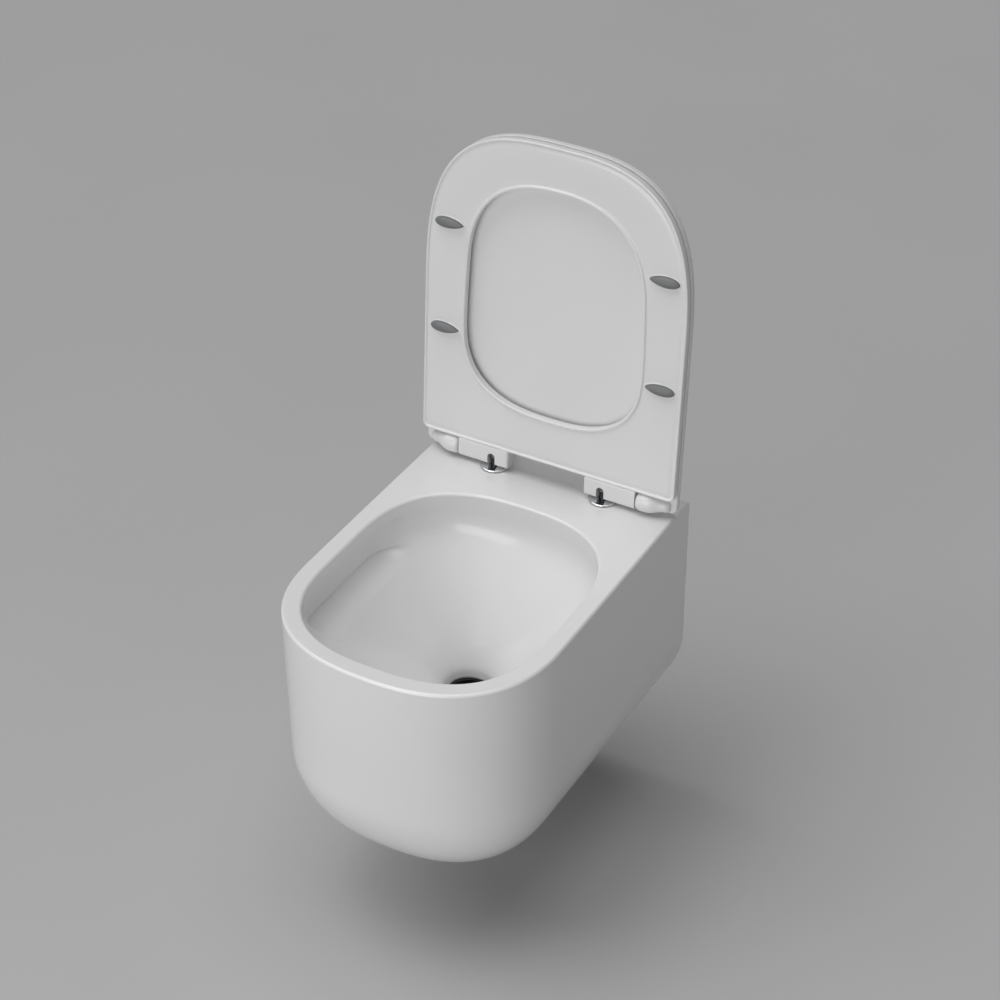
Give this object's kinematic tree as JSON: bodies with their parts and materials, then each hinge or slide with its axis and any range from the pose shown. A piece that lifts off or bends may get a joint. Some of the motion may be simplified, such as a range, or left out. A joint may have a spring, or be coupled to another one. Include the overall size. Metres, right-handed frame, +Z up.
{
  "type": "wall hung toilet",
  "caption": "Wall hung toilet: rimless ceramic pan with a rounded belly, slim seat and lid raised on paired barrel hinges, wall fixings, flush inlet and drain spigot.",
  "frame": {"origin": "on the wall face, midway between the two wall fixing bolts", "axes": "+X to the right seen from the front, +Y into the wall, +Z up"},
  "size_m": [0.356, 0.4998, 0.798],
  "materials": {
    "glazed_china": "gloss white glaze",
    "seat_white": "gloss white thermoset",
    "buffer_grey": "soft matte",
    "seal_black": "matte",
    "hinge_chrome": "polished",
    "pin_steel": "turned stainless steel",
    "bush_nylon": "moulded",
    "clamp_zinc": "die cast zinc alloy"
  },
  "bodies": {
    "pan_body": {"pan": "glazed_china", "inlet_seal": "seal_black", "fixing_bush_left": "bush_nylon", "fixing_bush_right": "bush_nylon", "fixing_clamp_left": "clamp_zinc", "fixing_clamp_right": "clamp_zinc", "clamp_screw_left": "pin_steel", "clamp_screw_right": "pin_steel", "disc_seal_left": "seal_black", "disc_seal_right": "seal_black", "hinge_disc_left": "hinge_chrome", "hinge_disc_right": "hinge_chrome", "hinge_post_left": "hinge_chrome", "hinge_post_right": "hinge_chrome", "hinge_pin_left": "pin_steel", "hinge_pin_right": "pin_steel", "hinge_stud_left": "pin_steel", "hinge_stud_right": "pin_steel", "expansion_sleeve_left": "seal_black", "expansion_sleeve_right": "seal_black", "cone_nut_left": "bush_nylon", "cone_nut_right": "bush_nylon"},
    "seat": {"seat_ring": "seat_white", "seat_damper_left": "bush_nylon", "seat_bush_right": "bush_nylon", "seat_buffer_front_left": "buffer_grey", "seat_buffer_front_right": "buffer_grey", "seat_buffer_rear_left": "buffer_grey", "seat_buffer_rear_right": "buffer_grey"},
    "lid": {"lid_panel": "seat_white", "lid_bush_left": "bush_nylon", "lid_damper_right": "bush_nylon", "lid_buffer_front_left": "buffer_grey", "lid_buffer_front_right": "buffer_grey", "lid_buffer_rear_left": "buffer_grey", "lid_buffer_rear_right": "buffer_grey"}
  },
  "joints": [
    {"name": "seat_hinge", "type": "hinge", "parent": "pan_body", "child": "seat", "pos_m": [0, -0.0505, 0.097], "axis": [1, 0, 0], "range_deg": [0, 93.6]},
    {"name": "lid_hinge", "type": "hinge", "parent": "seat", "child": "lid", "pos_m": [0, -0.0505, 0.097], "axis": [1, 0, 0], "range_deg": [-90, 0]}
  ]
}
